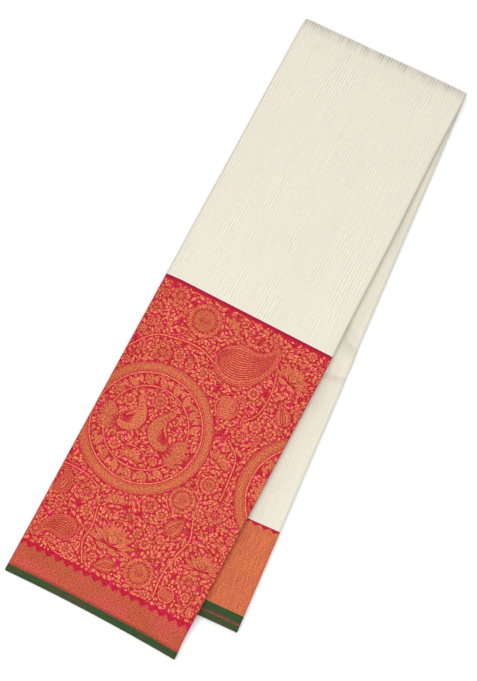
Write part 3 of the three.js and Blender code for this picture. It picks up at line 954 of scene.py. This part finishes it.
# What fills the rest. Each is tried at so many free places, which is its last number.
BARE = (70, 1.4, 3.2)  # patches left plain: how many, and their radii
BLOSSOMS = [(6.2, 9, 110), (4.6, 7, 160)]  # radius, petals
SPRIGS = [(18, 7, 6.6, 500), (13, 6, 5.6, 800), (9, 5, 4.6, 800)]  # stem, leaves, their size
LEAVES = [(7.4, 0.46, 3000), (5.8, 0.5, 6000), (4.4, 0.56, 8000), (3.3, 0.64, 9000),
          (2.5, 0.76, 8000)]      # length, width as a share of it


def flow(s, r):
    """Which way the small leaves lean."""
    return 2.2 * sin(s / 21 + r / 37) + 1.7 * sin(r / 16 - s / 29)


def free_places(chart, count):
    """So many places at random where nothing lies yet, each with the lean of a leaf there."""
    spots = np.argwhere(~chart.taken)
    chosen = spots[chart.random.integers(len(spots), size=count)]
    places = chosen + chart.random.uniform(0, 1, (count, 2))
    for i, j in places * CELL:
        s, r = j - HALF, i + chart.low
        yield s, r, flow(s, r) + chart.random.normal(0, 0.6)


def fill_in(chart):
    count, least, most = BARE
    for s, r, _ in free_places(chart, count):
        radius = chart.random.uniform(least, most)
        across = np.array([(s - 0.6 * radius, r), (s + 0.6 * radius, r)])
        chart.take(across, np.full(2, radius), 0)
    for radius, petals, tries in BLOSSOMS:
        for s, r, lean in free_places(chart, tries):
            across = np.array([(s - radius, r), (s, r), (s + radius, r)])
            if chart.free(across, np.array([0.5, 1, 0.5]) * radius):
                rosette(chart, Place(s, r, degrees(lean)), radius, petals)
    for length, leaves, size, tries in SPRIGS:
        for s, r, lean in free_places(chart, tries):
            mirror = chart.random.choice([-1, 1])
            sprig(chart, Place(s, r, degrees(lean), 1, mirror), length, leaves, size)
    for length, wide, tries in LEAVES:
        for s, r, lean in free_places(chart, tries):
            size = length * chart.random.uniform(0.85, 1.15)
            axis = curve((s, r), lean, size, chart.random.uniform(-0.8, 0.8), 4)
            half = leaf_half(size * wide, 4)
            if chart.free(axis, half):
                chart.blade(axis, half, gap=0.22)


def brocade_chart():
    chart = Chart(LOWEST_FIGURE, HIGHEST_FIGURE, seed=11)
    for place in ROUNDELS:
        roundel(chart, place)
    for draw, s, r, turn, size in FIGURES:
        draw(chart, Place(s, r, turn), size)
    for points in VINES:
        vine(chart, points)
    fill_in(chart)
    return chart


# ---- Figures of the brocade: their meshes ----
# Painted highlight: blades slimmer than SLIM get a lighter gold, as if their threads caught the
# light.
SLIM = 2.6  # blades with a smaller half width than this are brighter
FIGURE_HEIGHT = 0.12  # of the first layer above the ground
LAYER_HEIGHT = 0.025
FIGURE_EDGE = HALF - 0.35  # figures are cut off where the ply folds under


def blade_mesh(axis, half):
    """Points and faces of a blade, on the cloth."""
    columns = max(2, ceil(2 * half.max() / WIDEST_STEP) + 1)
    share = np.linspace(-1, 1, columns)
    points = axis[:, None] - (sideways(axis) * half[:, None])[:, None] * share[None, :, None]
    faces = grid_faces(len(axis), columns)
    inside = np.abs(points.reshape(-1, 2)[:, 0]) < FIGURE_EDGE
    return points.reshape(-1, 2), faces[inside[faces].any(1)]


def figures(name, chart, thread, silk):
    """One piece with all the blades of one thread."""
    points, faces, heights, tints = [], [], [], []
    count = 0
    for axis, half, layer, kind in chart.blades:
        if kind != thread:
            continue
        spots, corners = blade_mesh(axis, half)
        points.append(spots)
        faces.append(corners + count)
        heights.append(np.full(len(spots), FIGURE_HEIGHT + LAYER_HEIGHT * layer))
        # painted highlight on slim blades, plus a random tone for each blade
        slim_highlight = np.clip(1 - half.max() / SLIM, 0, 1)
        tints.append(np.full(len(spots), 0.6 * slim_highlight + 0.4 * chart.random.uniform()))
        count += len(spots)
    s, r = np.vstack(points).T
    s = np.clip(s, -FIGURE_EDGE, FIGURE_EDGE)
    cloth = np.stack([s, r, np.concatenate(tints)], -1)
    places = surface(s, r, OUTER + np.concatenate(heights))
    return new_piece(name, places, np.vstack(faces), cloth, silk)


# ---- The hidden plies ----
# Only their folds show, down both sides, and their edges at both ends.
HIDDEN = OUTER - 2 * PLY  # offset of the outermost hidden ply
HIDDEN_PLIES = 30
FOLD_POINTS = 6  # steps from one fold to the next, and from one edge to the next
EDGE_POINTS = 4
RIM_DEPTH = 1.8  # how far the grooves between folds lie inside the outline
CREST_LOW, CREST_HIGH = 0.45, 1.65  # how far folds and edges stand out of the grooves
RIM_STEP = 5.5
LIP = 12.0  # how much is made of the lowest hidden ply, past the outer one's end
rim_random = np.random.default_rng(23)


def crests(count, along):
    """How far each of so many folds stands out at each place: it wanders slowly."""
    phase = rim_random.uniform(0, 2 * pi, (3, 1, count))
    pitch = rim_random.uniform(70, 260, (3, 1, count))
    waves = np.sin(2 * pi * along[:, None] / pitch + phase)
    own = rim_random.uniform(0.15, 0.85, count)
    share = np.clip(own + waves.sum(0) * 0.13, 0, 1)
    return CREST_LOW + (CREST_HIGH - CREST_LOW) * share


def rim_profile(count, points, along, power):
    """Offsets across the rim, and at each place along it how far each of them stands out."""
    at = np.linspace(0, count, count * points + 1)
    offsets = HIDDEN * (2 * at / count - 1)
    number = np.minimum(at.astype(int), count - 1)
    lobe = np.abs(np.sin(pi * at)) ** power
    return offsets, crests(count, along)[:, number] * lobe


def grid_area(points):
    """Area of a grid of points."""
    down, right = np.diff(points, axis=0)[:, :-1], np.diff(points, axis=1)[:-1]
    return np.linalg.norm(np.cross(down, right), axis=-1).sum()


def hidden_plies(name, first, last, silk):
    """The folds of the hidden plies between two rows, and their edges if an end lies there."""
    grids = []
    rows = rows_between(first, last, RIM_STEP)
    for side in (-1, 1):
        offsets, out = rim_profile(HIDDEN_PLIES // 2, FOLD_POINTS, rows, 0.6)
        s = side * (HALF - RIM_DEPTH + out)
        grids.append((*np.broadcast_arrays(s, rows[:, None], offsets), side > 0))
    across = spread(-HALF + RIM_DEPTH / 2, HALF - RIM_DEPTH / 2, RIM_STEP)
    for end, outward in ((FRONT_END, -1), (BACK_END, 1)):
        if end not in (first, last):
            continue
        offsets, out = rim_profile(HIDDEN_PLIES, EDGE_POINTS, across, 0.35)
        r = end - outward * (RIM_DEPTH - out)
        grids.append((*np.broadcast_arrays(across[:, None], r, offsets), outward < 0))
    if last == BACK_END:
        s, r = np.meshgrid(across, spread(last - LIP, last - 0.4, 2.0))
        grids.append((s, r, np.full(s.shape, HIDDEN), False))
    points, faces, cloth, area, count = [], [], [], 0.0, 0
    for s, r, offset, flip in grids:
        places = surface(s, r, offset)
        area += grid_area(places)
        points.append(places.reshape(-1, 3))
        faces.append(grid_faces(*s.shape, flip) + count)
        cloth.append(np.stack([s + offset, r, np.zeros(s.shape)], -1).reshape(-1, 3))
        count += s.size
    piece = new_piece(name, np.vstack(points), np.vstack(faces), np.vstack(cloth), silk,
                      ["inner_plies"])


# ---- All the stretches ----
SELVEDGE_STEP = 1.3
SECOND_PLY = -OUTER + 2.2 * PLY


def both_faces(outer, inner, first, last, silk, step=ROW_STEP):
    stretch(outer, first, last, OUTER, silk, step)
    stretch(inner, first, last, -OUTER, silk, step)


both_faces("field_outer", "field_inner", BROCADE_JOINT, BACK_JOINT, FIELD_SILK)
brocade = brocade_chart()
gold = figures("brocade_gold", brocade, GOLD, FIGURE_GOLD)
lines = figures("brocade_lines", brocade, RED, FIGURE_LINES)
stretch("brocade_front", FRONT_TEETH, BROCADE_JOINT, OUTER, GROUND_SILK)
stretch("brocade_lower", FRONT_TEETH, BROCADE_JOINT, -OUTER, REVERSE)
both_faces("zari_band_front", "zari_band_lower", FRONT_SELVEDGE, FRONT_TEETH, SHADED_BAND_FRONT)
both_faces("selvedge_front", "selvedge_lower", FRONT_END, FRONT_SELVEDGE, SELVEDGE, SELVEDGE_STEP)
both_faces("zari_band_under", "zari_band_back", BACK_JOINT, BACK_SELVEDGE, BAND_BACK)
both_faces("selvedge_under", "selvedge_back", BACK_SELVEDGE, BACK_PLY_END, SELVEDGE, SELVEDGE_STEP)
stretch("selvedge_second", SECOND_PLY_START, BACK_END, SECOND_PLY, SELVEDGE)
hidden_plies("plies_field", BROCADE_JOINT, BACK_JOINT, FIELD_SILK)
hidden_plies("plies_brocade", FRONT_TEETH, BROCADE_JOINT, REVERSE)
hidden_plies("plies_band_front", FRONT_SELVEDGE, FRONT_TEETH, SHADED_BAND_FRONT)
hidden_plies("plies_selvedge_front", FRONT_END, FRONT_SELVEDGE, SELVEDGE)
hidden_plies("plies_band_back", BACK_JOINT, BACK_SELVEDGE, BAND_BACK)
hidden_plies("plies_selvedge_back", BACK_SELVEDGE, BACK_END, SELVEDGE)


# ---- Floor, light and camera ----
FLOOR_REACH = 4.0  # in metres, like the lamp's place and size
WORLD_STRENGTH = 0.68
LAMP_PLACE = (-0.12, -0.55, 2.3)
LAMP_SIZE = 1.3
LAMP_POWER = 38


def floor():
    dye = Dye("pale_floor")
    shader = dye.node("ShaderNodeBsdfDiffuse", {"Color": (0.96, 0.96, 0.96, 1)})
    dye.node("ShaderNodeOutputMaterial", {0: shader.outputs[0]})
    mesh = bpy.data.meshes.new("floor")
    reach = FLOOR_REACH
    corners = [(-reach, -reach, 0), (reach, -reach, 0), (reach, reach, 0), (-reach, reach, 0)]
    mesh.from_pydata(corners, [], [(0, 1, 2, 3)])
    mesh.materials.append(dye.material)
    add_object("floor", mesh)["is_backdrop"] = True


def studio():
    """A white world and one soft lamp that faces the sari."""
    world = bpy.data.worlds.new("studio")
    world.use_nodes = True
    background = world.node_tree.nodes["Background"]
    background.inputs["Color"].default_value = (1, 1, 1, 1)
    background.inputs["Strength"].default_value = WORLD_STRENGTH
    bpy.context.scene.world = world
    bpy.context.scene.view_settings.view_transform = "Standard"
    lamp = bpy.data.lights.new("key", "AREA")
    lamp.size = LAMP_SIZE
    lamp.energy = LAMP_POWER
    light = add_object("key", lamp)
    light.location = LAMP_PLACE
    light.rotation_euler = (-Vector(LAMP_PLACE)).to_track_quat("-Z", "Y").to_euler()


# The camera stands nearly over the front end. Its turn is about the vertical, then it is
# tipped up from straight down and rolled a little.
CAMERA_PLACE = (103.89, -703.21, 1816.58)  # from the middle of the crease's line
CAMERA_TURN = 28.06
CAMERA_TIP = 12.03
CAMERA_ROLL = -2.82
LENS = 100.44


def camera():
    lens = bpy.data.cameras.new("camera")
    lens.lens = LENS
    eye = add_object("camera", lens)
    turn = (Matrix.Rotation(radians(CAMERA_TURN), 4, "Z")
            @ Matrix.Rotation(radians(CAMERA_TIP), 4, "X")
            @ Matrix.Rotation(radians(CAMERA_ROLL), 4, "Y"))
    place = Vector((np.array(CAMERA_PLACE) + SHIFT) * MM)
    eye.matrix_world = Matrix.Translation(place) @ turn
    bpy.context.scene.camera = eye


floor()
studio()
camera()

boxes = {"cad": CAD_BOX, "visual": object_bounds()}
{name: [list(corner) for corner in box] for name, box in boxes.items()}
